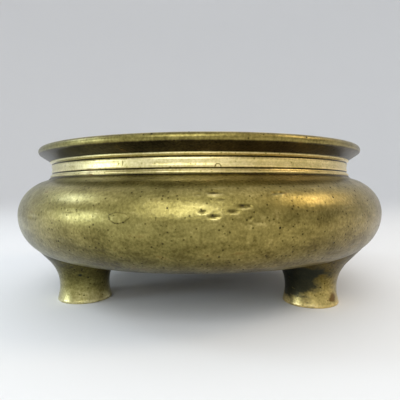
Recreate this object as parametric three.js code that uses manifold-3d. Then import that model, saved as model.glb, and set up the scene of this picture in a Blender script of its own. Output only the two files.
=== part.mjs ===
// A bronze tripod incense burner: a cast bowl on three separately cast, riveted feet.
// Millimetres, +Z up. The origin is on the bowl's axis in the plane that the feet stand on, and the front is -Y.
import * as THREE from "three";
import { mergeVertices } from "three/addons/utils/BufferGeometryUtils.js";
import Module from "manifold-3d";

const wasm = await Module();
wasm.setup();

// Belly: two quarter ellipses that meet at its widest ring, over a nearly flat floor arc
const bellyRadius = 80;
const bellyWidestHeight = 35.8;
const bellyLobeWidth = 16;
const bellyUpperHeight = 14.5;
const bellyLowerHeight = 16.6;
const floorEdgeSlopeDeg = 12.5;
const wallThickness = 4;
const floorThickness = 4.5;

// Neck band with a fillet at each edge and two turned grooves
const neckRadius = 66.9;
const neckHollow = 0.25;
const neckFilletProud = 0.6;
const neckFilletHeight = 0.7;
const neckBottomHeight = 50.9;
const neckTopHeight = 57.4;
const lowerGrooveHeight = 52.4;
const upperGrooveHeight = 56.05;
const grooveWidth = 0.7;
const grooveDepth = 0.35;
const neckFootRun = 1.5;

// Everted lip
const lipTipRadius = 71.9;
const lipTopHeight = 63;
const lipEdgeRound = 1.7;
const lipUndersideEndDeg = -50;
const lipTopFlat = 1.8;
const lipInnerRound = 1.4;

// Feet: waisted round columns that flare into the bowl's underside
const footCount = 3;
const footCircleRadius = 54.5;
const tripodTurnDeg = -4.4;
const footBottomRadius = 11;
const footWaistRadius = 10.1;
const footWaistHeight = 6.2;
const footFlareRadius = 16;
const footFlareEndDeg = 42;
const footFlareRun = 7.8;
const footHollowRadius = 6.5;
const footHollowHeight = 12;
const footEdgeBreak = 0.5;
const seatGap = 0.3;

// Rivets that hold the feet
const rivetShankRadius = 2.5;
const rivetHoleClearance = 0.2;
const rivetHeadRadius = 5;
const rivetHeadHeight = 2.4;
const rivetHeadRim = 0.5;
const rivetTailRadius = 4;
const rivetTailHeight = 1.8;
const spotFaceClearance = 0.5;
const spotFaceDepth = 0.15;

// Plugs and patch let into the bowl's wall
const plugClearance = 0.12;
const plugDepth = 2.4;
const rectangularPlugWidth = 2;
const roundPlugRadius = 1.1;
const roundPlugHeight = 52.7;
const roundPlugAngleDeg = 4.9;
const rectangularPlugAngleDeg = -22.3;
const patchAngleDeg = -16.8;
const patchHeight = 37.9;
const patchHalfLength = 3.6;
const patchHalfHeight = 1.8;
const patchDepth = 2.2;

// How finely round surfaces are faceted
const bowlSegments = 56;
const footSegments = 36;
const rivetSegments = 20;

const bronze = { color: 0x8b7d3c, roughness: 0.36, metalness: 1 };
const paleBronze = { color: 0xb3a35c, roughness: 0.4, metalness: 1 };

const radians = THREE.MathUtils.degToRad;

// Points on an ellipse's arc: centre (r, z), half axes and the angles that it runs between
function arc(r, z, halfWidth, halfHeight, fromDeg, toDeg, steps) {
  const points = [];
  for (let i = 0; i <= steps; i += 1) {
    const angle = radians(fromDeg + ((toDeg - fromDeg) * i) / steps);
    points.push(new THREE.Vector2(r + halfWidth * Math.cos(angle), z + halfHeight * Math.sin(angle)));
  }
  return points;
}

function at(r, z) {
  return new THREE.Vector2(r, z);
}

// Turns a profile of (radius, height) points about the Z axis
function revolve(profile, segments) {
  const geometry = new THREE.LatheGeometry(profile, segments);
  geometry.rotateX(Math.PI / 2);
  return geometry;
}

// A closed geometry as a solid: shared vertices merged, triangles that shrink to a line dropped
function toSolid(geometry) {
  const bare = geometry.clone();
  bare.deleteAttribute("normal");
  bare.deleteAttribute("uv");
  const merged = mergeVertices(bare, 1e-4);
  const index = merged.index.array;
  const kept = [];
  for (let i = 0; i < index.length; i += 3) {
    const [a, b, c] = [index[i], index[i + 1], index[i + 2]];
    if (a !== b && b !== c && c !== a) kept.push(a, b, c);
  }
  const vertProperties = new Float32Array(merged.attributes.position.array);
  return new wasm.Manifold(new wasm.Mesh({ numProp: 3, vertProperties, triVerts: new Uint32Array(kept) }));
}

function toMesh(name, solid, finish) {
  const { vertProperties, triVerts } = solid.getMesh();
  const geometry = new THREE.BufferGeometry();
  geometry.setAttribute("position", new THREE.BufferAttribute(vertProperties, 3));
  geometry.setIndex(new THREE.BufferAttribute(triVerts, 1));
  geometry.computeVertexNormals();
  const mesh = new THREE.Mesh(geometry, new THREE.MeshStandardMaterial(finish));
  mesh.name = name;
  return mesh;
}

// The belly's lobe centre and the point where the floor arc leaves the lobe
const lobeCentreRadius = bellyRadius - bellyLobeWidth;
const floorSlope = Math.tan(radians(floorEdgeSlopeDeg));
const floorJoinDeg = -THREE.MathUtils.radToDeg(Math.atan(bellyLowerHeight / (bellyLobeWidth * floorSlope)));
const floorJoin = arc(lobeCentreRadius, bellyWidestHeight, bellyLobeWidth, bellyLowerHeight, floorJoinDeg, 0, 1)[0];
const floorArcRadius = floorJoin.x / Math.sin(radians(floorEdgeSlopeDeg));
const floorArcCentre = floorJoin.y + floorArcRadius * Math.cos(radians(floorEdgeSlopeDeg));

// Floor and lower belly from the axis out to the widest ring, moved outwards by grow (inwards when negative)
function lowerBowl(growWall, growFloor, floorSteps, bellySteps) {
  const radius = floorArcRadius + growFloor;
  const endDeg = floorEdgeSlopeDeg - 90;
  const floor = arc(0, floorArcCentre, radius, radius, -90, endDeg - (growFloor < 0 ? 1 : 0), floorSteps);
  floor[0].x = 0;
  const halfWidth = bellyLobeWidth + growWall;
  const halfHeight = bellyLowerHeight + growWall;
  const belly = arc(lobeCentreRadius, bellyWidestHeight, halfWidth, halfHeight, floorJoinDeg, 0, bellySteps);
  return [...floor.slice(0, -1), ...belly];
}

// A turned V groove in the neck
function groove(height) {
  return [
    at(neckRadius, height - grooveWidth / 2),
    at(neckRadius - grooveDepth, height),
    at(neckRadius, height + grooveWidth / 2),
  ];
}

const lobeTopDeg = THREE.MathUtils.radToDeg(
  Math.acos((neckRadius + neckFootRun - lobeCentreRadius) / bellyLobeWidth),
);
const filletRadius = neckRadius + neckFilletProud;
const lipTip = at(lipTipRadius - lipEdgeRound, lipTopHeight - lipEdgeRound);
const mouthRadius = neckRadius - wallThickness;
const lipInnerRadius = lipTip.x - lipTopFlat;

// Outer side: shoulder, neck with fillets and grooves, and lip
const outerUpper = [
  ...arc(lobeCentreRadius, bellyWidestHeight, bellyLobeWidth, bellyUpperHeight, 0, lobeTopDeg, 8).slice(1),
  at(filletRadius, neckBottomHeight),
  at(filletRadius, neckBottomHeight + neckFilletHeight),
  ...groove(lowerGrooveHeight),
  at(neckRadius - neckHollow, (lowerGrooveHeight + upperGrooveHeight) / 2),
  ...groove(upperGrooveHeight),
  at(filletRadius, neckTopHeight - neckFilletHeight),
  at(filletRadius, neckTopHeight),
  ...arc(lipTip.x, lipTip.y, lipEdgeRound, lipEdgeRound, lipUndersideEndDeg, 90, 7),
];

// Inner side, from the lip's top down to the inner belly's widest ring
const innerHalfWidth = bellyLobeWidth - wallThickness;
const innerUpperHeight = bellyUpperHeight - wallThickness;
const innerUpper = [
  ...arc(lipInnerRadius, lipTopHeight - lipInnerRound, lipInnerRound, lipInnerRound, 90, 150, 3),
  at(mouthRadius, neckTopHeight - neckFilletHeight),
  at(mouthRadius, bellyWidestHeight + bellyUpperHeight - wallThickness / 2),
  ...arc(lobeCentreRadius, bellyWidestHeight, innerHalfWidth, innerUpperHeight, 90, 0, 8),
];
const innerLower = lowerBowl(-wallThickness, -floorThickness, 6, 7).reverse().slice(1);

const bowlBlank = toSolid(
  revolve([...lowerBowl(0, 0, 6, 9), ...outerUpper, ...innerUpper, ...innerLower], bowlSegments),
);

// Height of the bowl's inner floor at a distance from the axis
function innerFloorHeight(radius) {
  const inner = floorArcRadius - floorThickness;
  return floorArcCentre - Math.sqrt(inner * inner - radius * radius);
}

// The foot's own profile, closed on itself round the rivet hole
const rivetHoleRadius = rivetShankRadius + rivetHoleClearance;
const flareCentreRadius = footWaistRadius + footFlareRadius;
const flare = arc(flareCentreRadius, footWaistHeight, footFlareRadius, footFlareRadius, 180, 180 - footFlareEndDeg, 8);
const flareEnd = flare[flare.length - 1];
const flareTop = at(
  flareEnd.x + footFlareRun * Math.sin(radians(footFlareEndDeg)),
  flareEnd.y + footFlareRun * Math.cos(radians(footFlareEndDeg)),
);
const footProfile = [
  at(rivetHoleRadius, footHollowHeight),
  at(footHollowRadius, footHollowHeight),
  at(footHollowRadius, 0),
  at(footBottomRadius - footEdgeBreak, 0),
  at(footBottomRadius, footEdgeBreak),
  at((footBottomRadius + 2 * footWaistRadius) / 3, footWaistHeight / 2),
  ...flare,
  flareTop,
  at(rivetHoleRadius, flareTop.y),
  at(rivetHoleRadius, footHollowHeight),
];
const footBlank = toSolid(revolve(footProfile, footSegments));
const bowlSpace = toSolid(
  revolve([...lowerBowl(seatGap, seatGap, 6, 9), at(0, bellyWidestHeight)], bowlSegments),
);

// Rivet: peened tail in the foot's hollow, shank through web and floor, domed head inside the bowl
const seatHeight = innerFloorHeight(footCircleRadius - rivetHeadRadius - spotFaceClearance) - spotFaceDepth;
const rivetHeadTop = seatHeight + rivetHeadHeight;
const rivetProfile = [
  at(0, footHollowHeight - rivetTailHeight),
  at(rivetTailRadius * 0.7, footHollowHeight - rivetTailHeight * 0.85),
  at(rivetTailRadius, footHollowHeight - rivetTailHeight / 2),
  at(rivetTailRadius, footHollowHeight),
  at(rivetShankRadius, footHollowHeight),
  at(rivetShankRadius, seatHeight),
  at(rivetHeadRadius, seatHeight),
  ...arc(0, seatHeight + rivetHeadRim, rivetHeadRadius, rivetHeadHeight - rivetHeadRim, 0, 90, 5).slice(0, -1),
  at(0, rivetHeadTop),
];
const rivet = toSolid(revolve(rivetProfile, rivetSegments));

function cylinder(radius, height, segments) {
  const geometry = new THREE.CylinderGeometry(radius, radius, height, segments);
  geometry.rotateX(Math.PI / 2);
  geometry.translate(0, 0, height / 2);
  return toSolid(geometry);
}

// Places on the foot circle; the angle is measured from the front, positive towards +X
const feet = ["front_left", "front_right", "rear"].slice(0, footCount).map((place, i) => {
  const angle = radians(tripodTurnDeg - 60 + (360 / footCount) * i);
  return { place, x: footCircleRadius * Math.sin(angle), y: -footCircleRadius * Math.cos(angle) };
});

// A prism with the given outline, sunk into the wall at an angle and height: local X runs round the bowl, local Y up
function wallPrism(outline, angleDeg, height, outerRadius, depth) {
  const length = depth + wallThickness;
  const geometry = new THREE.ExtrudeGeometry(outline, { depth: length, bevelEnabled: false, curveSegments: 8 });
  geometry.translate(0, 0, outerRadius - depth);
  geometry.rotateX(Math.PI / 2);
  geometry.rotateZ(radians(angleDeg));
  geometry.translate(0, 0, height);
  return toSolid(geometry);
}

function rectangle(width, height) {
  const w = width / 2;
  const h = height / 2;
  return new THREE.Shape([at(-w, -h), at(w, -h), at(w, h), at(-w, h)]);
}

function disc(radius) {
  return new THREE.Shape().absarc(0, 0, radius, 0, 2 * Math.PI, false);
}

// An irregular lens: a smooth closed curve whose reach wanders a little round its edge
function lens(halfLength, halfHeight) {
  const points = [];
  const steps = 12;
  for (let i = 0; i < steps; i += 1) {
    const angle = (2 * Math.PI * i) / steps;
    const wander = 1 - 0.08 * Math.cos(3 * angle) + 0.06 * Math.sin(2 * angle);
    points.push(at(halfLength * wander * Math.cos(angle), halfHeight * wander * Math.sin(angle)));
  }
  return new THREE.Shape(points);
}

// The belly's outer radius at a height
function bellyRadiusAt(height) {
  const rise = height - bellyWidestHeight;
  const halfHeight = rise > 0 ? bellyUpperHeight : bellyLowerHeight;
  return lobeCentreRadius + bellyLobeWidth * Math.sqrt(1 - (rise / halfHeight) ** 2);
}

const bandHeight = upperGrooveHeight - lowerGrooveHeight - grooveWidth;
const bandMiddle = (upperGrooveHeight + lowerGrooveHeight) / 2;
const inserts = [
  {
    name: "neck_plug_rectangular",
    outline: (grow) => rectangle(rectangularPlugWidth + 2 * grow, bandHeight + 2 * grow),
    angleDeg: rectangularPlugAngleDeg,
    height: bandMiddle,
    radius: neckRadius,
    depth: plugDepth,
  },
  {
    name: "neck_plug_round",
    outline: (grow) => disc(roundPlugRadius + grow),
    angleDeg: roundPlugAngleDeg,
    height: roundPlugHeight,
    radius: neckRadius,
    depth: plugDepth,
  },
  {
    name: "belly_patch",
    outline: (grow) => lens(patchHalfLength + grow, patchHalfHeight + grow),
    angleDeg: patchAngleDeg,
    height: patchHeight,
    radius: bellyRadiusAt(patchHeight),
    depth: patchDepth,
  },
];

const burner = new THREE.Group();
let vessel = bowlBlank;

for (const insert of inserts) {
  const { name, outline, angleDeg, height, radius, depth } = insert;
  const pocket = wallPrism(outline(plugClearance), angleDeg, height, radius, depth + plugClearance);
  const plug = bowlBlank.intersect(wallPrism(outline(0), angleDeg, height, radius, depth));
  vessel = vessel.subtract(pocket);
  burner.add(toMesh(name, plug, paleBronze));
}

const rivetHole = cylinder(rivetHoleRadius, bellyWidestHeight, rivetSegments);
const spotFace = cylinder(rivetHeadRadius + spotFaceClearance, bellyWidestHeight, rivetSegments);

for (const { place, x, y } of feet) {
  vessel = vessel.subtract(rivetHole.translate([x, y, 0]));
  vessel = vessel.subtract(spotFace.translate([x, y, seatHeight]));
  burner.add(toMesh(`foot_${place}`, footBlank.translate([x, y, 0]).subtract(bowlSpace), bronze));
  burner.add(toMesh(`foot_rivet_${place}`, rivet.translate([x, y, 0]), bronze));
}

burner.add(toMesh("vessel", vessel, bronze));

export default burner;
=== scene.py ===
"""Dresses a bronze tripod incense burner: a cast bowl on three riveted feet, with let-in plugs.

Surfaces are worked out in millimetres about the bowl's axis, and go into their meshes in metres.
"""

import logging
from dataclasses import astuple, dataclass, field
from enum import Enum

import bpy
import numpy as np
from mathutils import Matrix, Vector


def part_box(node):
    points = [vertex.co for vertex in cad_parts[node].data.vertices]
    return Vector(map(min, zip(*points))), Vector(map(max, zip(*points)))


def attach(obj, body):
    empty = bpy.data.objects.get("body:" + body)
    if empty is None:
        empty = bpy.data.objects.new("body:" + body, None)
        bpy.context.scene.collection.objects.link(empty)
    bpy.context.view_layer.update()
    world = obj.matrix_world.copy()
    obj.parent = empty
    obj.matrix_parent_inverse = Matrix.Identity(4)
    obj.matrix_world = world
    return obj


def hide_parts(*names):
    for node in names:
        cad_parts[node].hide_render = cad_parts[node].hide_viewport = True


logging.basicConfig(level=logging.INFO, format="%(message)s")
log = logging.getLogger("burner")

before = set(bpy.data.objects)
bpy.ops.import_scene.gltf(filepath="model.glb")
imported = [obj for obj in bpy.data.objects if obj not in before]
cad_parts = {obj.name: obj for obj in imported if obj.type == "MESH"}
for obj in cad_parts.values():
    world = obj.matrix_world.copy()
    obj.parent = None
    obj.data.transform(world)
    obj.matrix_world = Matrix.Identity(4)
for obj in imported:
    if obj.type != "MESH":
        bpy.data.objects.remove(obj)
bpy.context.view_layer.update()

MM = 0.001
TINY = 1e-9
IMAGE_SIDE = 400
SEED = 29
FOOT_PLACES = ("front_left", "front_right", "rear")

Pair = tuple[float, float]
Colour = tuple[float, float, float]
Socket = bpy.types.NodeSocket
Value = float | tuple[float, ...] | Socket


class Zone(Enum):
    """Tone of a stretch of surface, from 0, near black, to 1, pale; some zones are painted shade and one a
    painted highlight.
    """

    # The underside and lower belly are painted shade, darker down towards the bottom.
    UNDERSIDE = 0.36
    LOWER_BELLY = 0.41
    BELLY = 0.53
    # The shoulder is painted shade, a dark reflection of the lip above it.
    SHOULDER = 0.44
    # A painted shadow line where the neck band meets the shoulder and the lip.
    SEAM_SHADOW = 0.10
    NECK = 0.9
    GROOVE = 0.06
    # Painted shade under the lip.
    LIP_UNDERSIDE = 0.16
    LIP_EDGE = 0.5
    # A painted highlight along the lip's top edge.
    LIP_HIGHLIGHT = 0.96
    # Painted shade inside the bowl.
    INSIDE = 0.3
    PATCH = 0.57


class Step(Enum):
    """Longest distance between rows of a turned surface, in millimetres."""

    MARKED = 0.36
    SHOWN = 0.8
    PLAIN = 2.2
    HIDDEN = 4.0


Stretch = tuple[np.ndarray, Zone, Step]


@dataclass(frozen=True)
class BowlSizes:
    """Real sizes of the bowl in millimetres, heights from the plane that the feet stand on.

    The seams and band_start are (radius, height) steps from the corner of the fillet or band they lie at. An
    angle on a round edge of fillet or lip is 0 outwards and 90 upwards.
    """

    belly_radius: float = 80.0
    belly_height: float = 35.8
    lobe_width: float = 16.0
    lobe_upper: float = 14.5
    lobe_lower: float = 16.6
    floor_slope_deg: float = 12.5
    wall: float = 4.0
    floor_wall: float = 4.5
    neck_radius: float = 66.9
    neck_hollow: float = 0.25
    neck_bottom: float = 50.9
    neck_top: float = 57.4
    neck_foot_run: float = 1.5
    band_start: Pair = (0.02, 0.85)
    fillet_proud: float = 0.6
    fillet_height: float = 0.7
    fillet_round: float = 0.3
    lower_fillet_deg: Pair = (-80.0, 80.0)
    upper_fillet_deg: Pair = (-80.0, 60.0)
    lower_seam: Pair = (-0.1, -0.15)
    upper_seam: tuple[Pair, Pair] = ((-0.15, 0.02), (0.3, 0.3))
    groove_heights: Pair = (52.4, 56.05)
    groove_width: float = 0.7
    groove_depth: float = 0.35
    groove_half_flat: float = 0.12
    lip_tip_radius: float = 71.9
    lip_top: float = 63.0
    lip_edge_round: float = 1.7
    lip_top_flat: float = 1.8
    lip_inner_round: float = 1.4
    lip_underside_deg: Pair = (-50.0, -40.0)
    lip_edge_deg: Pair = (-25.0, 60.0)
    # Span of the painted highlight on the lip's round edge.
    lip_highlight_deg: Pair = (68.0, 90.0)
    lip_inner_deg: Pair = (90.0, 150.0)


@dataclass(frozen=True)
class Ding:
    """A shallow oval dent in the belly, at an angle from the front and a height, in millimetres."""

    angle_deg: float
    height: float
    half_length: float = 1.2
    half_height: float = 0.42
    depth: float = 0.26
    lip: float = 0.3


SHOWN_DINGS = (
    Ding(3.07, 45.0, 1.5, 0.55, 0.34),
    Ding(4.6, 43.1, 0.9, 0.4, 0.16),
    Ding(0.66, 39.6, 0.95, 0.42, 0.24),
    Ding(2.9, 38.2, 1.15, 0.42, 0.28),
    Ding(6.85, 39.6, 1.3, 0.4, 0.28),
    Ding(8.8, 41.0, 1.1, 0.5, 0.3),
    Ding(10.1, 41.1, 0.5, 0.4, 0.28),
    Ding(10.25, 37.8, 0.4, 0.4, 0.26),
    Ding(10.2, 36.2, 0.35, 0.35, 0.22),
    Ding(11.9, 36.65, 1.2, 0.3, 0.2),
    Ding(-0.3, 44.5, 0.5, 0.4, 0.14),
    Ding(-21.5, 27.6, 1.6, 0.3, 0.14),
    Ding(16.5, 44.6, 0.7, 0.5, 0.22),
    Ding(18.0, 44.7, 0.6, 0.4, 0.22),
    Ding(4.8, 32.6, 0.5, 1.8, -0.07),
    Ding(9.9, 30.4, 0.5, 2.0, -0.08),
    Ding(11.2, 31.2, 0.45, 1.2, 0.1),
    Ding(14.7, 30.8, 0.5, 2.2, -0.08),
)


@dataclass(frozen=True)
class WearAndShading:
    """How the belly wears and is shaded, in millimetres: slow waves all over it, how a ding's edge lies, and
    the painted shade in a dent and painted highlight on its lip that its tone takes.
    """

    wave_depth: float = 0.06
    waves_round: int = 7
    wave_slant: float = 11.0
    wave_rise: float = 6.0
    wave_start: float = 0.6
    ding_reach: float = 5.0
    steepest_out: float = 0.4
    lip_length: float = 1.2
    lip_drop: float = 1.7
    # Weights of the painted shade in a dent, where it sits, and of the painted highlight on its lip.
    shade: float = 1.1
    shade_rise: float = 0.45
    shine: float = 3.0


@dataclass(frozen=True)
class Noise:
    """A noise pattern: scale per metre, detail, weight in the tone, and scale along each axis."""

    scale: float
    detail: float
    weight: float = 0.0
    stretch: Colour = (1.0, 1.0, 1.0)


@dataclass(frozen=True)
class Spots:
    """Round spots: scale per metre, radius in a cell, weight in the tone, and their full core's share."""

    scale: float
    radius: float
    weight: float
    core: float = 0.35


class Graph:
    """Short ways to add nodes to a material."""

    def __init__(self, tree: bpy.types.NodeTree) -> None:
        """Keeps the tree that the nodes are added to."""
        self.tree = tree

    def node(self, kind: str, inputs: dict[str | int, Value], **settings: str | bool) -> bpy.types.Node:
        """Adds a node.

        Args:
            kind: the node's type name.
            inputs: a value or a socket for each input, by name or place.
            settings: the node's own properties.

        Returns:
            The node.
        """
        made = self.tree.nodes.new(kind)
        for key, value in settings.items():
            setattr(made, key, value)
        for key, value in inputs.items():
            if isinstance(value, Socket):
                self.tree.links.new(value, made.inputs[key])
            else:
                made.inputs[key].default_value = value
        return made

    def math(self, operation: str, *values: Value, clamp: bool = False) -> Socket:
        """Adds a math node and returns its value."""
        made = self.node("ShaderNodeMath", dict(enumerate(values)), operation=operation, use_clamp=clamp)
        return made.outputs["Value"]

    def attribute(self, name: str) -> Socket:
        """Reads a point attribute."""
        return self.node("ShaderNodeAttribute", {}, attribute_name=name).outputs["Fac"]

    def span(self, value: Socket, source: Pair, target: Pair = (0.0, 1.0)) -> Socket:
        """Maps a value evenly from one span to another, and holds it at the ends.

        Args:
            value: what is mapped.
            source: the values that give the target's start and end.
            target: start and end of the result.

        Returns:
            The mapped value.
        """
        inputs = {"Value": value, "From Min": source[0], "From Max": source[1]}
        inputs |= {"To Min": target[0], "To Max": target[1]}
        return self.node("ShaderNodeMapRange", inputs).outputs["Result"]

    def noise(self, place: Socket, noise: Noise) -> Socket:
        """Adds noise on a place that is first scaled along each axis, which draws the noise out into streaks.

        Args:
            place: the point that is shaded, in metres.
            noise: the pattern.

        Returns:
            The noise, about 0.5.
        """
        drawn = self.node("ShaderNodeVectorMath", {0: place, 1: noise.stretch}, operation="MULTIPLY")
        inputs = {"Vector": drawn.outputs["Vector"], "Scale": noise.scale, "Detail": noise.detail}
        return self.node("ShaderNodeTexNoise", inputs).outputs["Fac"]

    def spots(self, place: Socket, spots: Spots, share: float) -> Socket:
        """Adds round spots in the cells of a Voronoi pattern.

        Args:
            place: the point that is shaded, in metres.
            spots: the pattern.
            share: the share of the cells that hold a spot.

        Returns:
            1 in the core of a spot, falling to 0 at its radius.
        """
        cells = self.node("ShaderNodeTexVoronoi", {"Vector": place, "Scale": spots.scale})
        ball = self.span(cells.outputs["Distance"], (spots.radius, spots.radius * spots.core))
        chosen = self.node("ShaderNodeSeparateColor", {"Color": cells.outputs["Color"]}).outputs["Red"]
        return self.math("MULTIPLY", ball, self.math("LESS_THAN", chosen, share))

    def blend(self, amount: Value, first: Value, second: Value, kind: str = "MIX") -> Socket:
        """Mixes two colours."""
        made = self.node("ShaderNodeMix", {0: amount, 6: first, 7: second}, data_type="RGBA", blend_type=kind)
        return made.outputs[2]


NOISES = {
    "cloud": Noise(32.0, 5.0, 0.34),
    "mottle": Noise(150.0, 4.0, 0.4, (1.0, 1.0, 2.2)),
    "grain": Noise(1250.0, 2.0, 0.38),
    "streaks": Noise(620.0, 3.0, 0.06, (1.0, 1.0, 0.12)),
}
PITS = Spots(270.0, 0.115, -0.5)
SPECKS = Spots(640.0, 0.26, -0.26)


@dataclass(frozen=True)
class BronzeFinish:
    """A cast bronze surface, olive gold where it is wiped and near black where dirt stays; its tone also
    carries painted shade and painted highlights.

    It reads the point attributes tone and stain_and_shade. A positive value of the latter is dark, for
    staining and for painted shade; a negative one is brown staining.
    """

    name: str
    roughness: float = 0.3
    roughness_span: Pair = (-0.06, 0.14)
    pit_roughness: float = 0.3
    metallic: float = 0.92
    film: float = 0.6
    film_tones: Pair = (0.3, 0.62)
    film_ior: float = 1.6
    tone_shift: float = 0.0
    pit_share: float = 0.6
    speck_share: float = 0.45
    pit_relief: float = -1.6
    mottle_relief: float = 1.4
    relief_m: float = 0.00011
    relief_strength: float = 0.5
    tones: tuple[tuple[float, Colour], ...] = (
        (0.0, (0.014, 0.010, 0.005)),
        (0.2, (0.050, 0.039, 0.016)),
        (0.42, (0.138, 0.112, 0.020)),
        (0.6, (0.265, 0.218, 0.045)),
        (0.82, (0.560, 0.470, 0.170)),
        (1.0, (0.800, 0.690, 0.340)),
    )
    # Painted reflection: greyer on the left, where the cool lamps are, and more golden on the right, where
    # the warm lamp is.
    cool_reflection_tint: Colour = (0.90, 1.0, 1.18)
    warm_reflection_tint: Colour = (1.14, 0.97, 0.70)
    side_slope: float = 5.5
    side_noise: Noise = Noise(20.0, 3.0)
    # The dark colour is for dark staining and for painted shade.
    dark_stain_and_shade: Colour = (0.016, 0.021, 0.017)
    brown_stain: Colour = (0.150, 0.075, 0.016)
    stain_and_shade_ragged: float = 2.4
    stain_and_shade_edge: Pair = (0.35, 0.8)
    stain_and_shade_cover: float = 0.92

    def material(self) -> bpy.types.Material:
        """Makes the node material, patterned on Object coordinates.

        Returns:
            The material.
        """
        made = bpy.data.materials.new(self.name)
        made.use_nodes = True
        graph = Graph(made.node_tree)
        shader = made.node_tree.nodes["Principled BSDF"]
        place = graph.node("ShaderNodeTexCoord", {}).outputs["Object"]
        parts = {name: graph.noise(place, noise) for name, noise in NOISES.items()}
        parts["pits"] = graph.spots(place, PITS, self.pit_share)
        parts["specks"] = graph.spots(place, SPECKS, self.speck_share)
        tone = self._toned(graph, parts)
        colour = self._tinted(graph, graph.node("ShaderNodeValToRGB", {"Fac": tone}), place)
        colour, covered = self._stained_and_shaded(graph, parts, colour)
        film = graph.span(tone, self.film_tones, (0.0, self.film))
        film = graph.math("MULTIPLY", film, graph.math("SUBTRACT", 1.0, covered, clamp=True))
        graph.tree.links.new(colour, shader.inputs["Base Color"])
        graph.tree.links.new(film, shader.inputs["Coat Weight"])
        self._surface(graph, parts, shader)
        return made

    def _toned(self, graph: Graph, parts: dict[str, Socket]) -> Socket:
        """Adds the patterns to the tone: each noise by how far it is from 0.5, each spot as it is.

        Args:
            graph: the material's nodes.
            parts: the patterns by name.

        Returns:
            The tone.
        """
        tone = graph.math("ADD", graph.attribute("tone"), self.tone_shift)
        for name, noise in NOISES.items():
            tone = graph.math("MULTIPLY_ADD", graph.math("SUBTRACT", parts[name], 0.5), noise.weight, tone)
        tone = graph.math("MULTIPLY_ADD", parts["pits"], PITS.weight, tone)
        return graph.math("MULTIPLY_ADD", parts["specks"], SPECKS.weight, tone)

    def _tinted(self, graph: Graph, ramp: bpy.types.Node, place: Socket) -> Socket:
        """Fills the ramp with the tones and tints it as painted reflection, greyer to the left where the cool
        lamps shine and more golden to the right where the warm lamp shines.

        Args:
            graph: the material's nodes.
            ramp: the colour ramp that the tone runs into.
            place: the point that is shaded, in metres.

        Returns:
            The colour.
        """
        stops = ramp.color_ramp.elements
        stops[0].position, stops[1].position = self.tones[0][0], self.tones[-1][0]
        for position, _ in self.tones[1:-1]:
            stops.new(position)
        for stop, (_, colour) in zip(stops, self.tones):
            stop.color = (*colour, 1.0)
        # Painted reflection: the colour runs from grey on the left to gold on the right.
        across = graph.node("ShaderNodeSeparateXYZ", {"Vector": place}).outputs["X"]
        drift = graph.noise(place, self.side_noise)
        side = graph.math("MULTIPLY_ADD", across, self.side_slope, drift, clamp=True)
        reflection_tint = graph.blend(side, (*self.cool_reflection_tint, 1.0), (*self.warm_reflection_tint, 1.0))
        return graph.blend(1.0, ramp.outputs["Color"], reflection_tint, "MULTIPLY")

    def _stained_and_shaded(self, graph: Graph, parts: dict[str, Socket], colour: Socket) -> tuple[Socket, Socket]:
        """Lays the staining and the painted shade over the colour, with an edge that the mottle makes ragged.

        Args:
            graph: the material's nodes.
            parts: the patterns by name.
            colour: the clean bronze.

        Returns:
            The colour with staining and painted shade, and how much of it they cover.
        """
        stain_and_shade = graph.attribute("stain_and_shade")
        ragged = graph.math("SUBTRACT", parts["mottle"], 0.5)
        ragged = graph.math("MULTIPLY_ADD", ragged, self.stain_and_shade_ragged, graph.math("ABSOLUTE", stain_and_shade))
        covered = graph.span(ragged, self.stain_and_shade_edge, (0.0, self.stain_and_shade_cover))
        kind = graph.math("GREATER_THAN", stain_and_shade, 0.0)
        stain_and_shade_colours = graph.blend(kind, (*self.brown_stain, 1.0), (*self.dark_stain_and_shade, 1.0))
        return graph.blend(covered, colour, stain_and_shade_colours), covered

    def _surface(self, graph: Graph, parts: dict[str, Socket], shader: bpy.types.Node) -> None:
        """Sets metal, roughness and fine relief.

        Args:
            graph: the material's nodes.
            parts: the patterns by name.
            shader: the node that takes them.
        """
        below, above = self.roughness_span
        rough = graph.span(parts["cloud"], (0.0, 1.0), (self.roughness + below, self.roughness + above))
        rough = graph.math("MULTIPLY_ADD", parts["pits"], self.pit_roughness, rough, clamp=True)
        relief = graph.math("MULTIPLY_ADD", parts["pits"], self.pit_relief, parts["grain"])
        relief = graph.math("MULTIPLY_ADD", parts["mottle"], self.mottle_relief, relief)
        bump = graph.node("ShaderNodeBump", {
            "Height": relief, "Distance": self.relief_m, "Strength": self.relief_strength,
        })
        shader.inputs["Metallic"].default_value = self.metallic
        shader.inputs["Coat Roughness"].default_value = self.roughness
        shader.inputs["Coat IOR"].default_value = self.film_ior
        graph.tree.links.new(rough, shader.inputs["Roughness"])
        graph.tree.links.new(bump.outputs["Normal"], shader.inputs["Normal"])


def ellipse_arc(r: float, z: float, a: float, b: float, start: float, end: float, steps: int) -> np.ndarray:
    """Points on an ellipse: (r + a cos t, z + b sin t), with t evenly from start to end.

    Args:
        r: radius of the ellipse's middle from the axis.
        z: height of its middle.
        a: its half width.
        b: its half height.
        start: the first t in degrees.
        end: the last t in degrees.
        steps: how many steps lie between them.

    Returns:
        An array of (radius, height) rows.
    """
    t = np.radians(np.linspace(start, end, steps + 1))
    return np.stack([r + a * np.cos(t), z + b * np.sin(t)], axis=1)


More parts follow.
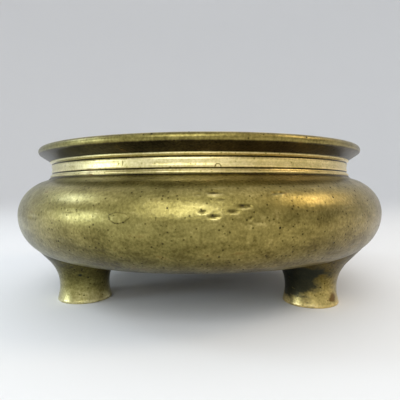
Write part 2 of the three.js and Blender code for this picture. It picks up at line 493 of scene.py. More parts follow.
def refine(points: np.ndarray, values: np.ndarray, steps: np.ndarray) -> tuple[np.ndarray, np.ndarray]:
    """Resamples a profile by length, keeping every given point.

    Args:
        points: (radius, height) rows.
        values: a row of values for each point, which run evenly from point to point.
        steps: for each point, the longest distance from the point before it to the next row.

    Returns:
        The finer rows and their values.
    """
    both = np.concatenate([points, values], axis=1)
    length = np.linalg.norm(np.diff(points, axis=0), axis=1)
    count = np.maximum(1, np.ceil(length / steps[1:])).astype(int)
    start = np.repeat(np.arange(len(count)), count)
    share = (np.arange(len(start)) - np.repeat(np.cumsum(count) - count, count) + 1) / count[start]
    rows = both[start] * (1 - share[:, None]) + both[start + 1] * share[:, None]
    rows = np.concatenate([both[:1], rows])
    return rows[:, :2], rows[:, 2:]


@dataclass
class Skin:
    """Points, quads, triangles and point attributes of one piece, in millimetres."""

    verts: np.ndarray
    quads: np.ndarray
    tris: np.ndarray
    tone: np.ndarray
    stain_and_shade: np.ndarray | None = None

    def link(self, name: str, material: bpy.types.Material) -> bpy.types.Object:
        """Makes the smooth mesh object, at the origin.

        Args:
            name: the object's name.
            material: its only material.

        Returns:
            The object, linked to the scene.
        """
        mesh = bpy.data.meshes.new(name)
        quads, tris = self.quads.reshape(-1, 4), self.tris.reshape(-1, 3)
        corners = np.concatenate([quads.ravel(), tris.ravel()]).astype(np.int32)
        starts = np.concatenate([np.arange(len(quads)) * 4, len(quads) * 4 + np.arange(len(tris)) * 3])
        mesh.vertices.add(len(self.verts))
        mesh.vertices.foreach_set("co", (self.verts * MM).astype(np.float32).ravel())
        mesh.loops.add(len(corners))
        mesh.loops.foreach_set("vertex_index", corners)
        mesh.polygons.add(len(starts))
        mesh.polygons.foreach_set("loop_start", starts.astype(np.int32))
        mesh.update(calc_edges=True)
        mesh.validate()
        mesh.polygons.foreach_set("use_smooth", np.ones(len(mesh.polygons), dtype=bool))
        stain_and_shade = np.zeros(len(self.verts)) if self.stain_and_shade is None else self.stain_and_shade
        for key, values in (("tone", self.tone), ("stain_and_shade", stain_and_shade)):
            layer = mesh.attributes.new(key, "FLOAT", "POINT")
            layer.data.foreach_set("value", values.astype(np.float32))
        mesh.materials.append(material)
        made = bpy.data.objects.new(name, mesh)
        bpy.context.scene.collection.objects.link(made)
        return made


def place_piece(made: bpy.types.Object, node: str) -> None:
    """Lets a piece stand in for its CAD node, and logs it.

    Args:
        made: the piece.
        node: the CAD node's name.
    """
    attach(made, "root")
    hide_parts(node)
    log.info("%s: %d faces", made.name, len(made.data.polygons))


def turned(profile: np.ndarray, tones: np.ndarray, angles: np.ndarray) -> Skin:
    """Turns a profile about the axis: point (r cos a, r sin a, z) for each row and angle a.

    Args:
        profile: (radius, height) rows, of which the first and the last lie on the axis and become poles.
        tones: the tone of each row.
        angles: the angles in radians, once round.

    Returns:
        The surface, its faces outwards where the profile runs from below, outside, to above.
    """
    inner = profile[1:-1]
    columns = len(angles)
    height = np.repeat(inner[:, 1:], columns, axis=1)
    grid = np.stack([inner[:, :1] * np.cos(angles), inner[:, :1] * np.sin(angles), height], axis=2)
    poles = [[0, 0, profile[0, 1]], [0, 0, profile[-1, 1]]]
    row = np.arange(len(inner) - 1)[:, None] * columns
    ring = np.arange(columns)
    after = (ring + 1) % columns
    quads = np.stack([row + ring, row + after, row + columns + after, row + columns + ring], axis=2)
    first = len(inner) * columns
    top_row = first - columns
    bottom = np.stack([np.full(columns, first), after, ring], axis=1)
    top = np.stack([np.full(columns, first + 1), top_row + ring, top_row + after], axis=1)
    tone = np.concatenate([np.repeat(tones[1:-1], columns), tones[:1], tones[-1:]])
    return Skin(np.concatenate([grid.reshape(-1, 3), poles]), quads, np.concatenate([bottom, top]), tone)


@dataclass
class Bowl:
    """The cast bowl: floor, belly, neck band, lip and inside, as one turned surface.

    Its front, within front_deg either way, has narrower columns for the dings that the photograph shows.
    """

    sizes: BowlSizes = field(default_factory=BowlSizes)
    wear_and_shading: WearAndShading = field(default_factory=WearAndShading)
    front_columns: int = 140
    other_columns: int = 220
    front_deg: float = 24.0
    plain_share: float = 0.8
    widest_gap_deg: float = 3.0
    marked_share: float = 0.7
    shoulder_share: float = 0.8
    inner_stop_deg: float = 1.0
    # Heights and zones of the painted shade, darker down towards the underside.
    shading_heights: tuple[float, ...] = (16.0, 27.0, 36.0)
    shading_zones: tuple[Zone, ...] = (Zone.UNDERSIDE, Zone.LOWER_BELLY, Zone.BELLY)
    hidden_dings: int = 90
    hidden_gap_deg: float = 4.0
    hidden_heights: Pair = (25.0, 47.0)
    hidden_half_lengths: Pair = (1.6, 2.6)
    hidden_half_heights: Pair = (0.5, 0.9)
    hidden_depths: Pair = (0.05, 0.2)

    def floor_arc(self) -> tuple[float, float, float]:
        """Works out the floor's circle, which meets the belly's ellipse at the floor's slope.

        Returns:
            The circle's radius, the height of its middle, and where it meets the ellipse, as t in degrees.
        """
        s = self.sizes
        slope = np.radians(s.floor_slope_deg)
        join_deg = -np.degrees(np.arctan(s.lobe_lower / (s.lobe_width * np.tan(slope))))
        centre = s.belly_radius - s.lobe_width
        join = ellipse_arc(centre, s.belly_height, s.lobe_width, s.lobe_lower, join_deg, 0, steps=1)[0]
        radius = join[0] / np.sin(slope)
        return radius, join[1] + radius * np.cos(slope), join_deg

    def underside(self, reach: np.ndarray) -> np.ndarray:
        """Height of the underside: the floor's circle near the axis, then the belly's ellipse, solved for z.

        Args:
            reach: distances from the axis.

        Returns:
            The heights.
        """
        s = self.sizes
        radius, middle, _ = self.floor_arc()
        floor = middle - np.sqrt(radius**2 - np.minimum(reach, radius) ** 2)
        across = np.clip((reach - s.belly_radius + s.lobe_width) / s.lobe_width, 0, 1)
        lobe = s.belly_height - s.lobe_lower * np.sqrt(1 - across**2)
        return np.where(reach < radius * np.sin(np.radians(s.floor_slope_deg)), floor, lobe)

    def outer_radius(self, height: np.ndarray) -> np.ndarray:
        """Radius of the belly: its ellipse, the upper or the lower, solved for r.

        Args:
            height: heights on the belly.

        Returns:
            The radii.
        """
        s = self.sizes
        tall = np.where(height > s.belly_height, s.lobe_upper, s.lobe_lower)
        share = np.clip((height - s.belly_height) / tall, -1, 1)
        return s.belly_radius - s.lobe_width + s.lobe_width * np.sqrt(1 - share**2)

    def lower(self, grow: float, grow_floor: float, steps: int) -> np.ndarray:
        """Floor's circle and belly's ellipse, from the axis to the widest ring.

        Args:
            grow: how far the ellipse lies outside the bowl's outer surface, below 0 for the inside.
            grow_floor: the same for the circle.
            steps: steps on the circle, a third of those on the ellipse.

        Returns:
            An array of (radius, height) rows.
        """
        s = self.sizes
        radius, middle, join_deg = self.floor_arc()
        radius += grow_floor
        end = s.floor_slope_deg - 90 - (self.inner_stop_deg if grow_floor < 0 else 0)
        floor = ellipse_arc(0, middle, radius, radius, -90, end, steps)
        floor[0, 0] = 0
        middle_ring = (s.belly_radius - s.lobe_width, s.belly_height)
        belly = ellipse_arc(*middle_ring, s.lobe_width + grow, s.lobe_lower + grow, join_deg, 0, 3 * steps)
        return np.concatenate([floor[:-1], belly])

    def band(self) -> list[Stretch]:
        """Neck band between its two fillets, with two grooves and a slight hollow between them.

        Returns:
            Stretches of the profile, from below.
        """
        s = self.sizes
        tip = s.neck_radius + s.fillet_proud
        half_fillet = s.fillet_height / 2
        round_and_half = (s.fillet_round, half_fillet)
        deep = s.neck_radius - s.groove_depth
        half = s.groove_width / 2
        flat = s.groove_half_flat
        lower = (tip - s.fillet_round, s.neck_bottom + half_fillet, *round_and_half, *s.lower_fillet_deg)
        upper = (tip - s.fillet_round, s.neck_top - half_fillet, *round_and_half, *s.upper_fillet_deg)
        groove, second_groove = (
            [
                (np.array([[s.neck_radius, height - half]]), Zone.NECK, Step.SHOWN),
                (np.array([[deep, height - flat], [deep, height + flat]]), Zone.GROOVE, Step.SHOWN),
                (np.array([[s.neck_radius, height + half]]), Zone.NECK, Step.SHOWN),
            ]
            for height in s.groove_heights
        )
        hollow = np.array([[s.neck_radius - s.neck_hollow, sum(s.groove_heights) / 2]])
        return [
            # A painted shadow line lies where the band meets the shoulder, and another where it meets the
            # lip.
            (np.array([[tip, s.neck_bottom]]) + s.lower_seam, Zone.SEAM_SHADOW, Step.SHOWN),
            (ellipse_arc(*lower, steps=6), Zone.NECK, Step.SHOWN),
            (np.array([[s.neck_radius, s.neck_bottom]]) + s.band_start, Zone.NECK, Step.SHOWN),
            *groove,
            (hollow, Zone.NECK, Step.SHOWN),
            *second_groove,
            (ellipse_arc(*upper, steps=6), Zone.NECK, Step.SHOWN),
            (np.array([tip, s.neck_top]) + s.upper_seam, Zone.SEAM_SHADOW, Step.SHOWN),
        ]

    def lip(self) -> list[Stretch]:
        """Lip, from its underside over the two round edges of its flat top to the mouth.

        Returns:
            Stretches of the profile, from outside.
        """
        s = self.sizes
        radius = s.lip_tip_radius - s.lip_edge_round
        edge = (radius, s.lip_top - s.lip_edge_round, s.lip_edge_round, s.lip_edge_round)
        inner_round = (s.lip_inner_round, s.lip_inner_round)
        inner = (radius - s.lip_top_flat, s.lip_top - s.lip_inner_round, *inner_round)
        return [
            # The underside is painted shade.
            (ellipse_arc(*edge, *s.lip_underside_deg, steps=2), Zone.LIP_UNDERSIDE, Step.SHOWN),
            (ellipse_arc(*edge, *s.lip_edge_deg, steps=10), Zone.LIP_EDGE, Step.SHOWN),
            # A painted highlight runs along the top of the round edge.
            (ellipse_arc(*edge, *s.lip_highlight_deg, steps=6), Zone.LIP_HIGHLIGHT, Step.SHOWN),
            (ellipse_arc(*inner, *s.lip_inner_deg, steps=8), Zone.LIP_EDGE, Step.SHOWN),
        ]

    def inside(self) -> list[Stretch]:
        """Inside of neck, belly and floor, one wall's thickness in.

        Returns:
            Stretches of the profile, from above.
        """
        s = self.sizes
        mouth = s.neck_radius - s.wall
        neck = [[mouth, s.neck_top - s.fillet_height], [mouth, s.belly_height + s.lobe_upper - s.wall / 2]]
        lobe = (s.belly_radius - s.lobe_width, s.belly_height, s.lobe_width - s.wall, s.lobe_upper - s.wall)
        return [
            # The whole inside is painted shade.
            (np.array(neck), Zone.INSIDE, Step.PLAIN),
            (ellipse_arc(*lobe, 90, self.widest_gap_deg, steps=16), Zone.INSIDE, Step.HIDDEN),
            (self.lower(-s.wall, -s.floor_wall, steps=6)[::-1], Zone.INSIDE, Step.HIDDEN),
        ]

    def profile(self) -> tuple[np.ndarray, np.ndarray]:
        """The closed profile from the underside's middle, over the lip, to the inside's middle.

        Returns:
            The (radius, height) rows, and for each its tone and whether it is on the belly's outside, 1 or 0.
        """
        s = self.sizes
        centre = s.belly_radius - s.lobe_width
        lobe = (centre, s.belly_height, s.lobe_width, s.lobe_upper)
        top_deg = np.degrees(np.arccos((s.neck_radius + s.neck_foot_run - centre) / s.lobe_width))
        below = self.lower(grow=0, grow_floor=0, steps=12)
        lowest = below[:, 1] < s.belly_height - s.lobe_lower * self.plain_share
        marked = ellipse_arc(*lobe, self.widest_gap_deg, top_deg * self.marked_share, steps=24)
        stretches = [
            (below[lowest], Zone.UNDERSIDE, Step.PLAIN),
            (below[~lowest], Zone.BELLY, Step.SHOWN),
            (marked, Zone.BELLY, Step.MARKED),
            # The shoulder is painted shade, a dark reflection of the lip above.
            (ellipse_arc(*lobe, top_deg * self.shoulder_share, top_deg, steps=8), Zone.SHOULDER, Step.SHOWN),
            *self.band(),
            *self.lip(),
            *self.inside(),
        ]
        points = np.concatenate([rows for rows, _, _ in stretches])
        tones = np.concatenate([np.full(len(rows), zone.value) for rows, zone, _ in stretches])
        shading_tones = [zone.value for zone in self.shading_zones]
        # Painted shade: the belly's tone darkens towards the underside.
        tones[:len(below)] = np.interp(below[:, 1], self.shading_heights, shading_tones)
        steps = np.concatenate([np.full(len(rows), step.value) for rows, _, step in stretches])
        belly = np.zeros(len(points))
        belly[lowest.sum():len(below) + len(marked)] = 1.0
        return refine(points, np.stack([tones, belly], axis=1), steps)

    def dings(self) -> np.ndarray:
        """Lists the shown dings, and seeded ones on the sides that the photograph doesn't show.

        Returns:
            For each ding, a row of what Ding holds.
        """
        draw = np.random.default_rng(SEED)
        start = self.front_deg + self.hidden_gap_deg
        spans = (
            (start, 360 - start),
            self.hidden_heights,
            self.hidden_half_lengths,
            self.hidden_half_heights,
            self.hidden_depths,
        )
        hidden = [draw.uniform(low, high, self.hidden_dings) for low, high in spans]
        no_lip = np.zeros(self.hidden_dings)
        shown = np.array([astuple(ding) for ding in SHOWN_DINGS])
        return np.concatenate([shown, np.stack([*hidden, no_lip], axis=1)])

    def worn_and_shaded(self, skin: Skin, belly: np.ndarray) -> None:
        """Presses dings and a slight unevenness into the belly, and paints shade and highlights into the tone
        round the dings.

        Each ding sinks the surface along its normal by depth * exp(-(u/a)^2 - (v/b)^2), with a lip just below
        it; u runs round the belly and v up it. The unevenness is a product of two slow sines.

        Args:
            skin: the bowl's surface, changed in place.
            belly: 1 for points on the belly's outside, falling to 0 at its ends.
        """
        s, w = self.sizes, self.wear_and_shading
        x, y, z = skin.verts.T
        reach = np.maximum(np.hypot(x, y), TINY)
        angle = np.degrees(np.arctan2(x, -y))
        tall = np.where(z > s.belly_height, s.lobe_upper, s.lobe_lower)
        out = (reach - s.belly_radius + s.lobe_width) / s.lobe_width**2
        up = (z - s.belly_height) / tall**2
        size = np.maximum(np.hypot(out, up), TINY)
        out, up = out / size, up / size
        round_wave = np.sin(np.radians(w.waves_round * angle) + z / w.wave_slant)
        sink = w.wave_depth * (0.5 + 0.5 * round_wave * np.sin(z / w.wave_rise + w.wave_start))
        on_belly = belly > 0
        for degrees, height, half_length, half_height, depth, lip in self.dings():
            near = on_belly & (np.abs(z - height) < w.ding_reach)
            turn = (angle[near] - degrees + 180) % 360 - 180
            u = np.radians(turn) * reach[near] / half_length
            v = (z[near] - height) / np.maximum(out[near], w.steepest_out) / half_height
            pressed = np.exp(-(u**2) - v**2)
            raised = lip * np.exp(-((u / w.lip_length) ** 2) - (v + w.lip_drop) ** 2)
            sink[near] += depth * (pressed - raised)
            # Painted shade in the upper half of a dent and a painted highlight on its lip below; a ridge of
            # negative depth gets them the other way round, paler above and darker below.
            skin.tone[near] -= w.shade * depth * np.exp(-(u**2) - (v - w.shade_rise) ** 2) * (lip > 0)
            skin.tone[near] += w.shine * depth * raised
        sink *= belly
        skin.verts[:, 0] -= sink * out * x / reach
        skin.verts[:, 1] -= sink * out * y / reach
        skin.verts[:, 2] -= sink * up

    def build(self) -> None:
        """Makes the bowl's mesh in place of the vessel node."""
        profile, values = self.profile()
        front = np.linspace(-self.front_deg, self.front_deg, self.front_columns, endpoint=False)
        other = np.linspace(self.front_deg, 360 - self.front_deg, self.other_columns, endpoint=False)
        angles = np.radians(np.concatenate([front, other]) - 90)
        skin = turned(profile, values[:, 0], angles)
        belly = np.concatenate([np.repeat(values[1:-1, 1], len(angles)), [0, 0]])
        self.worn_and_shaded(skin, belly)
        place_piece(skin.link("bowl_surface", BronzeFinish("bowl_bronze").material()), "vessel")


class StainAndShade(Enum):
    """Where a foot has staining, and where painted shade lies under the belly: the angle from its front, the
    height, their spreads and the strength.
    """

    DARK_FLANK = (-58.0, 9.0, 60.0, 8.0, 1.15)
    # Painted shade at the top of the foot, under the belly.
    THROAT_SHADE = (-15.0, 14.0, 45.0, 3.0, 0.75)
    BROWN_SPOT = (38.0, 3.4, 16.0, 2.4, -0.9)
    SMALL_PIT = (8.0, 11.6, 7.0, 0.7, 1.0)
    DARK_SMUDGE = (100.0, 6.0, 30.0, 4.0, 0.7)


FOOT_STAINS_AND_SHADE = {
    "front_left": (StainAndShade.SMALL_PIT,),
    "front_right": (StainAndShade.DARK_FLANK, StainAndShade.THROAT_SHADE, StainAndShade.BROWN_SPOT),
    "rear": (StainAndShade.DARK_SMUDGE,),
}


@dataclass
class Foot:
    """One waisted foot, whose flare runs into the bowl's underside, in millimetres."""

    place: str
    bowl: Bowl
    columns: int = 128
    bottom: float = 11.0
    base_round: float = 0.5
    base_edge: Pair = (0.1, 0.15)
    waist: float = 10.1
    waist_height: float = 6.2
    waist_power: float = 1.8
    flare: float = 16.0
    flare_end_deg: float = 42.0
    flare_run: float = 7.8
    low_rows: int = 12
    run_rows: int = 7
    hollow: float = 6.5
    hollow_height: float = 12.0
    rim_above_hollow: float = 2.0
    sunk: float = 1.5
    skin_gap: float = 0.05
    pit_share: float = 0.55
    # Tones by height: pale at the rubbed base and darker upward, the upper darkening painted shade under the
    # belly.
    shading_heights: tuple[float, ...] = (1.0, 1.5, 7.0, 13.0, 17.0)
    shading_tones: tuple[float, ...] = (0.92, 0.78, 0.58, 0.36, 0.28)

    def profile(self) -> np.ndarray:
        """Profile from the hollow's ceiling, round the base, up the waist and out along the flare.

        The base narrows to the waist as share^power, the flare is a circle, and a straight run ends it.

        Returns:
            The (radius, height) rows.
        """
        circle = (self.waist + self.flare, self.waist_height, self.flare, self.flare)
        flare = ellipse_arc(*circle, 180, 180 - self.flare_end_deg, steps=24)
        turn = np.radians(self.flare_end_deg)
        outwards = np.linspace(0, 1, self.run_rows + 1)[1:, None]
        run = self.flare_run * np.array([[np.sin(turn), np.cos(turn)]]) * outwards
        share = np.linspace(1, 0, self.low_rows)
        height = self.waist_height - (self.waist_height - self.base_round) * share
        low = np.stack([self.waist + (self.bottom - self.waist) * share**self.waist_power, height], axis=1)
        base = np.array([
            [0, self.hollow_height],
            [self.hollow, self.hollow_height],
            [self.hollow, 0.0],
            [self.bottom - self.base_round, 0.0],
            [self.bottom - self.base_edge[0], self.base_edge[1]],
        ])
        return np.concatenate([base, low, flare[1:], flare[-1] + run, [[0, flare[-1, 1] + run[-1, 1]]]])

    def stained_and_shaded(self, skin: Skin) -> np.ndarray:
        """Adds up the foot's staining and painted shade: each is its strength * exp(-(angle/spread)^2 -
        (height/spread)^2).

        Args:
            skin: the foot's surface, about its own axis.

        Returns:
            The staining and painted shade at each point.
        """
        x, y, z = skin.verts.T
        angle = np.degrees(np.arctan2(x, -y))
        total = np.zeros(len(z))
        for stain_and_shade in FOOT_STAINS_AND_SHADE[self.place]:
            degrees, height, wide, tall, strength = stain_and_shade.value
            turn = (angle - degrees + 180) % 360 - 180
            total += strength * np.exp(-((turn / wide) ** 2) - ((z - height) / tall) ** 2)
        return total

    def held(self, skin: Skin) -> None:
        """Keeps the flare's rim inside the belly's surface and no deeper than sunk in the floor's wall.

        Args:
            skin: the foot's surface at its place under the bowl, changed in place.
        """
        reach = np.hypot(skin.verts[:, 0], skin.verts[:, 1])
        limit = self.bowl.outer_radius(skin.verts[:, 2]) - self.skin_gap
        rim = (reach > limit) & (skin.verts[:, 2] > self.bowl.underside(reach) - self.skin_gap)
        rim &= skin.verts[:, 2] > self.hollow_height + self.rim_above_hollow
        skin.verts[rim, :2] *= (limit[rim] / reach[rim])[:, None]
        reach = np.hypot(skin.verts[:, 0], skin.verts[:, 1])
        skin.verts[:, 2] = np.minimum(skin.verts[:, 2], self.bowl.underside(reach) + self.sunk)

    def build(self) -> None:
        """Makes the foot's mesh around its rivet's place."""
        lo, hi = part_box(f"foot_rivet_{self.place}")
        centre = (np.array(lo) + np.array(hi))[:2] / 2 / MM
        shape = self.profile()
        # Painted shade darkens the foot's top, under the belly.
        tones = np.interp(shape[:, 1], self.shading_heights, self.shading_tones)[:, None]
        points, values = refine(shape, tones, np.full(len(shape), Step.SHOWN.value))
        angles = np.linspace(0, 2 * np.pi, self.columns, endpoint=False)
        skin = turned(points, values[:, 0], angles)
        skin.stain_and_shade = self.stained_and_shaded(skin)
        skin.verts[:, :2] += centre
        self.held(skin)
        finish = BronzeFinish(f"foot_bronze_{self.place}", pit_share=self.pit_share).material()
        place_piece(skin.link(f"foot_{self.place}_surface", finish), f"foot_{self.place}")


@dataclass(frozen=True)
class Wave:
    """A sine round a rim: how often it turns, where it starts in radians, and its weight."""

    turns: int
    start: float
    weight: float


@dataclass
class Inlay:
    """A plug or patch whose face follows the bowl's wall, with a thin dark ragged line round it.

    Lengths are in millimetres. The line is at its strongest on the side that line_middle_deg points to, and
    line_everywhere of that elsewhere.
    """

    node: str
    bowl: Bowl
    angle_deg: float
    height: float
    half_length: float
    half_height: float
    power: float
    wall_radius: float | None = None
    cut: float = 1.0
    wobble: float = 0.0
    wobble_waves: tuple[Wave, ...] = (Wave(3, 0.5, 1.0), Wave(7, 1.3, 0.6))
    ragged_wave: Wave = Wave(11, 0.0, 0.5)
    ragged_swing: Wave = Wave(4, 0.0, 2.0)
    tone: Zone = Zone.NECK
    line: float = 0.3
    line_full: float = 1.4
    line_tone: float = 0.12
    line_middle_deg: float = 180.0
    line_side_cosine: float = 0.3
    line_everywhere: float = 0.6
    lift: float = 0.02
    proud: float = 0.05
    rim_depth: float = 0.3
    back_depth: float = 1.5
    roughness: float = 0.34
    pit_share: float = 0.3
    rings: int = 14
    columns: int = 96

    def edge(self, a: np.ndarray) -> np.ndarray:
        """Rim of a superellipse: (|cos a|^p + |sin a|^p)^(-1/p), uneven by wobble and cut flat below.

        Args:
            a: angles in radians, 0 along the wall and a quarter turn upwards.

        Returns:
            The rim's distance from the middle at each angle, as a share of the half length or height.
        """
        edge = (np.abs(np.cos(a)) ** self.power + np.abs(np.sin(a)) ** self.power) ** (-1 / self.power)
        uneven = sum(wave.weight * np.sin(wave.turns * a + wave.start) for wave in self.wobble_waves)
        edge *= 1 + self.wobble * uneven
        below = np.sin(a) < 0
        edge[below] = np.minimum(edge[below], self.cut / np.maximum(-np.sin(a[below]), TINY))
        return edge

    def toned(self, a: np.ndarray, inwards: np.ndarray) -> np.ndarray:
        """Tone of the face, which falls to the dark line's near the rim.

        The line is ragged by a sine whose angle swings with a slower one.

        Args:
            a: angles in radians.
            inwards: for each ring and angle, the distance from the rim.

        Returns:
            The tones.
        """
        turn = a - np.radians(self.line_middle_deg)
        swing = self.ragged_swing.weight * np.sin(self.ragged_swing.turns * a)
        ragged = 0.5 + self.ragged_wave.weight * np.sin(self.ragged_wave.turns * a + swing)
        on_side = np.cos(turn) > self.line_side_cosine
        strong = self.line_everywhere + (1 - self.line_everywhere) * on_side * ragged
        dark = np.clip(self.line_full - inwards / self.line, 0, 1) * strong
        return self.tone.value + (self.line_tone - self.tone.value) * dark

    def on_wall(self, along: np.ndarray, up: np.ndarray, rise: np.ndarray) -> np.ndarray:
        """Points on the wall: angle from the front plus along / radius, height plus up, radius plus rise.

        Args:
            along: distances round the wall.
            up: distances up from the middle.
            rise: distances out from the wall.

        Returns:
            An array of (x, y, z) rows.
        """
        z = self.height + up
        radius = self.bowl.outer_radius(z) if self.wall_radius is None else np.full_like(z, self.wall_radius)
        angle = np.radians(self.angle_deg) + along / radius
        reach = radius + rise
        return np.stack([reach * np.sin(angle), -reach * np.cos(angle), z], axis=1)

    def build(self) -> None:
        """Makes a slightly domed disc of rings, its rim sunk below the wall and closed behind to a point.

        The dome rises by proud * (1 - share^4), where share runs from 0 at the middle to 1 at the rim.
        """
        a = np.linspace(0, 2 * np.pi, self.columns, endpoint=False)
        edge = self.edge(a)
        share = np.linspace(0, 1, self.rings + 1)[1:, None]
        along = share * edge * np.cos(a) * self.half_length
        up = share * edge * np.sin(a) * self.half_height
        dome = self.lift + self.proud * (1 - share**4)
        rise = np.where(share < 1, dome, -self.rim_depth) * np.ones_like(along)
        middle = np.zeros(1)
        verts = np.concatenate([
            self.on_wall(middle, middle, np.array([self.lift + self.proud])),
            self.on_wall(along.ravel(), up.ravel(), rise.ravel()),
            self.on_wall(middle, middle, np.array([-self.back_depth])),
        ])
        inwards = (1 - share) * edge * min(self.half_length, self.half_height)
        tone = np.concatenate([[self.tone.value], self.toned(a, inwards).ravel(), [self.line_tone]])
        ring = np.arange(self.columns)
        after = (ring + 1) % self.columns
        base = 1 + np.arange(self.rings - 1)[:, None] * self.columns
        outer = base + self.columns
        quads = np.stack([base + ring, outer + ring, outer + after, base + after], axis=2)
        last = 1 + (self.rings - 1) * self.columns
        fan = np.stack([np.zeros(self.columns, dtype=int), 1 + ring, 1 + after], axis=1)
        behind = np.stack([last + ring, np.full(self.columns, len(verts) - 1), last + after], axis=1)
        skin = Skin(verts, quads, np.concatenate([fan, behind]), tone)
        finish = BronzeFinish(f"{self.node}_bronze", self.roughness, pit_share=self.pit_share).material()
        place_piece(skin.link(f"{self.node}_surface", finish), self.node)


def inlays(bowl: Bowl) -> tuple[Inlay, ...]:
    """The two plugs of the neck band and the patch on the belly.

    Args:
        bowl: the bowl that they are let into.

    Returns:
        The inlays, from left to right on the band, then the patch.
    """
    band = bowl.sizes.neck_radius
    rectangular = Inlay(
        "neck_plug_rectangular", bowl, angle_deg=-22.3, height=54.22, half_length=1.0, half_height=1.48,
        power=8.0, wall_radius=band - 0.16, line_everywhere=0.35,
    )
    rounded = Inlay(
        "neck_plug_round", bowl, angle_deg=4.9, height=52.72, half_length=1.15, half_height=1.15,
        power=2.0, wall_radius=band, cut=0.06, line_everywhere=0.9,
    )
    patch = Inlay(
        "belly_patch", bowl, angle_deg=-16.8, height=37.9, half_length=3.6, half_height=1.8,
        power=1.8, tone=Zone.PATCH, wobble=0.07, line=0.35, line_middle_deg=215.0, line_everywhere=0.45,
    )
    return rectangular, rounded, patch


@dataclass
class Rivets:
    """The rivets that hold the feet, which stay as CAD nodes."""

    finish: BronzeFinish = BronzeFinish("rivet_bronze_finish", tone_shift=0.45)

    def build(self) -> None:
        """Gives the rivets their finish."""
        material = self.finish.material()
        for place in FOOT_PLACES:
            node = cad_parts[f"foot_rivet_{place}"]
            for slot in node.material_slots:
                slot.material = material
            log.info("foot_rivet_%s dressed", place)


@dataclass(frozen=True)
class Lamp:
    """A square soft lamp aimed at the bowl's middle, in metres and watts."""

    name: str
    place: tuple[float, float, float]
    size: float
    power: float
    colour: Colour
    target: tuple[float, float, float] = (0.0, 0.0, 0.035)

    def build(self) -> None:
        """Adds the lamp."""
        data = bpy.data.lights.new(self.name, "AREA")
        data.size = self.size
        data.energy = self.power
        data.color = self.colour
        made = bpy.data.objects.new(self.name, data)
        bpy.context.scene.collection.objects.link(made)
        made.location = self.place
        aim = Vector(self.target) - Vector(self.place)
        made.rotation_euler = aim.to_track_quat("-Z", "Y").to_euler()


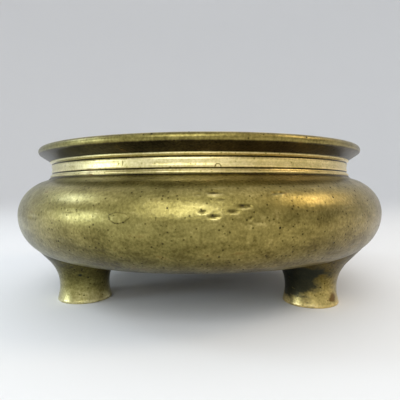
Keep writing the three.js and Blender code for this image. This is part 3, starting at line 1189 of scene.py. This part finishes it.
@dataclass
class Studio:
    """Pale sweep, soft lamps and the camera at the photograph's place. Angles are in radians."""

    focal_px: float = 370.0
    distance_mm: float = 180.8
    height_mm: float = 46.25
    pitch: float = 0.033
    roll: float = 0.006
    yaw: float = 0.0011
    sensor_mm: float = 36.0
    nearest_m: float = 0.005
    pale: Colour = (0.82, 0.82, 0.82)
    paper_roughness: float = 0.9
    sweep_mm: tuple[float, float, float] = (1700.0, 1500.0, 2500.0)
    sweep_below_mm: float = 0.02
    sweep_columns: int = 96
    sky: Colour = (0.95, 0.97, 1.0)
    sky_strength: float = 0.84
    lamps: tuple[Lamp, ...] = (
        Lamp("over_front", (-0.12, -0.70, 0.50), size=0.5, power=3.6, colour=(0.93, 0.97, 1.0)),
        Lamp("left_window", (-0.72, -0.30, 0.16), size=0.24, power=1.5, colour=(0.76, 0.89, 1.0)),
        Lamp("left_high", (-0.56, 0.0, 0.46), size=0.16, power=0.7, colour=(0.76, 0.89, 1.0)),
        Lamp("right_warm", (0.55, -0.12, 0.47), size=0.22, power=1.0, colour=(1.0, 0.82, 0.58)),
    )

    def camera(self) -> None:
        """Places the camera from the fitted turn: rows of the world-to-camera turn become its axes."""
        cy, sy = np.cos(self.yaw), np.sin(self.yaw)
        cp, sp = np.cos(self.pitch), np.sin(self.pitch)
        cr, sr = np.cos(self.roll), np.sin(self.roll)
        flat = np.array([[cy, -sy, 0], [sy, cy, 0], [0, 0, 1]])
        tipped = np.array([[1, 0, 0], [0, cp, -sp], [0, sp, cp]]) @ flat
        turn = np.array([[cr, 0, -sr], [0, 1, 0], [sr, 0, cr]]) @ tipped
        right, forward, up = turn
        matrix = np.eye(4)
        matrix[:3, 0], matrix[:3, 1], matrix[:3, 2] = right, up, -forward
        matrix[:3, 3] = (0, -self.distance_mm * MM, self.height_mm * MM)
        data = bpy.data.cameras.new("view")
        data.sensor_width = self.sensor_mm
        data.lens = self.sensor_mm * self.focal_px / IMAGE_SIDE
        data.clip_start = self.nearest_m
        made = bpy.data.objects.new("view", data)
        bpy.context.scene.collection.objects.link(made)
        made.matrix_world = Matrix(matrix.tolist())
        bpy.context.scene.camera = made

    def sweep(self) -> None:
        """Lays floor and backdrop as one turned sheet: flat, a quarter round and a wall all round."""
        flat, bend, top = self.sweep_mm
        arc = ellipse_arc(flat, bend, bend, bend, -90, 0, steps=24)
        profile = np.concatenate([[[0, 0]], arc, [[flat + bend, top], [0, top]]])
        profile[:, 1] -= self.sweep_below_mm
        angles = np.linspace(0, 2 * np.pi, self.sweep_columns, endpoint=False)
        skin = turned(profile, np.ones(len(profile)), angles)
        # The sheet is left open above: the upper pole and its fan go.
        skin.verts, skin.tone, skin.tris = skin.verts[:-1], skin.tone[:-1], skin.tris[:self.sweep_columns]
        paper = bpy.data.materials.new("pale_paper")
        paper.use_nodes = True
        shader = paper.node_tree.nodes["Principled BSDF"]
        shader.inputs["Base Color"].default_value = (*self.pale, 1.0)
        shader.inputs["Roughness"].default_value = self.paper_roughness
        skin.link("sweep", paper)

    def world(self) -> None:
        """Lights the scene with an even pale surround."""
        world = bpy.data.worlds.new("surround")
        world.use_nodes = True
        ground = world.node_tree.nodes["Background"]
        ground.inputs["Color"].default_value = (*self.sky, 1.0)
        ground.inputs["Strength"].default_value = self.sky_strength
        bpy.context.scene.world = world

    def build(self) -> None:
        """Sets up camera, sweep, lamps and surround."""
        self.camera()
        self.sweep()
        self.world()
        for lamp in self.lamps:
            lamp.build()
        bpy.context.scene.view_settings.view_transform = "Standard"


def main() -> None:
    """Builds the studio and every piece in order."""
    Studio().build()
    bowl = Bowl()
    bowl.build()
    for place in FOOT_PLACES:
        Foot(place, bowl).build()
    for inlay in inlays(bowl):
        inlay.build()
    Rivets().build()


if __name__ == "__main__":
    main()
